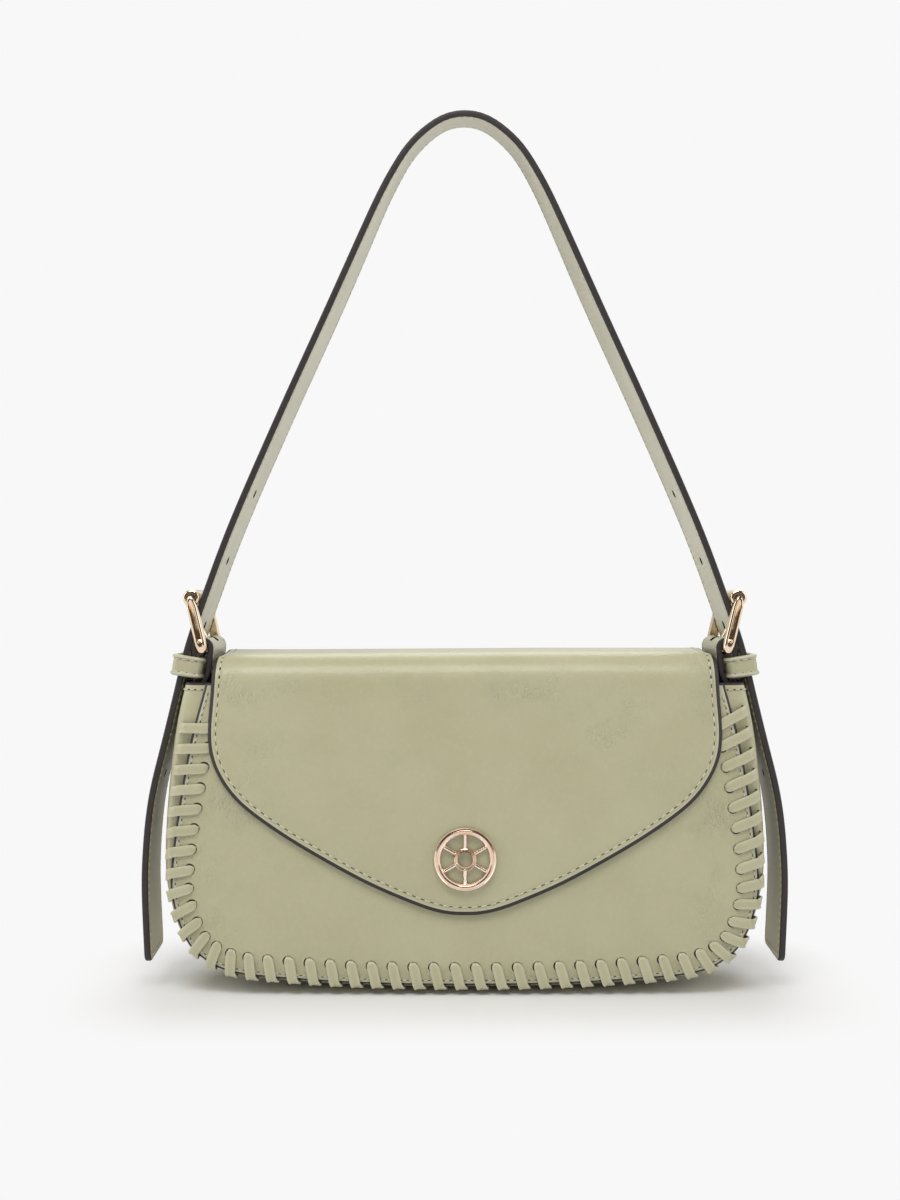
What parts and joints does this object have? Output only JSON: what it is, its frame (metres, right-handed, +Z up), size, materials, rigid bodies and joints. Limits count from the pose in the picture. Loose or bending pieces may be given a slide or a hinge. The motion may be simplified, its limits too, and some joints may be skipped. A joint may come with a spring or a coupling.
{
  "type": "flap shoulder bag",
  "caption": "Curved flap shoulder bag with laced panel edges, a rounded gusset, a buckled strap with hanging ends and a round metal emblem.",
  "frame": {"origin": "on the floor under the middle of the bag's body", "axes": "+Z up, front of the bag towards -Y, width along X"},
  "size_m": [0.2952, 0.0633, 0.4019],
  "materials": {
    "sage_leather": "semi-gloss waxed",
    "strap_leather": "semi-gloss with dark painted edges",
    "lining_cloth": "matt",
    "pale_gold": "polished",
    "magnet_steel": "satin"
  },
  "bodies": {
    "bag_body": {"front_panel": "sage_leather", "back_panel": "sage_leather", "gusset": "sage_leather", "lace": "sage_leather", "front_lining": "lining_cloth", "back_lining": "lining_cloth", "slip_pocket": "lining_cloth", "snap_socket": "magnet_steel", "strap": "strap_leather", "chape_left": "sage_leather", "chape_right": "sage_leather", "keeper_left": "sage_leather", "keeper_right": "sage_leather", "buckle_left_frame": "pale_gold", "buckle_right_frame": "pale_gold"},
    "flap_body": {"flap": "sage_leather", "snap_stud": "magnet_steel", "emblem_ring": "pale_gold", "emblem_wheel": "pale_gold"},
    "tail_left_body": {"strap_tail_left": "strap_leather"},
    "roller_left_body": {"roller_left": "pale_gold"},
    "prong_left_body": {"prong_left": "pale_gold"},
    "tail_right_body": {"strap_tail_right": "strap_leather"},
    "roller_right_body": {"roller_right": "pale_gold"},
    "prong_right_body": {"prong_right": "pale_gold"}
  },
  "joints": [
    {"name": "flap_lift", "type": "hinge", "parent": "bag_body", "child": "flap_body", "pos_m": [0, 0.0269, 0.1439], "axis": [-1, 0, 0], "range_deg": [0, 50]},
    {"name": "tail_left_swing", "type": "hinge", "parent": "bag_body", "child": "tail_left_body", "pos_m": [-0.13, 0, 0.1414], "axis": [0, 1, 0], "range_deg": [-2, 60]},
    {"name": "roller_left_spin", "type": "hinge", "parent": "bag_body", "child": "roller_left_body", "pos_m": [-0.12488, 0, 0.17877], "axis": [0, 1, 0], "continuous": true},
    {"name": "prong_left_swing", "type": "hinge", "parent": "bag_body", "child": "prong_left_body", "pos_m": [-0.1195, 0, 0.156], "axis": [0, -1, 0], "range_deg": [0, 4]},
    {"name": "tail_right_swing", "type": "hinge", "parent": "bag_body", "child": "tail_right_body", "pos_m": [0.13, 0, 0.1414], "axis": [0, -1, 0], "range_deg": [-2, 60]},
    {"name": "roller_right_spin", "type": "hinge", "parent": "bag_body", "child": "roller_right_body", "pos_m": [0.12488, 0, 0.17877], "axis": [0, 1, 0], "continuous": true},
    {"name": "prong_right_swing", "type": "hinge", "parent": "bag_body", "child": "prong_right_body", "pos_m": [0.1195, 0, 0.156], "axis": [0, 1, 0], "range_deg": [0, 4]}
  ]
}
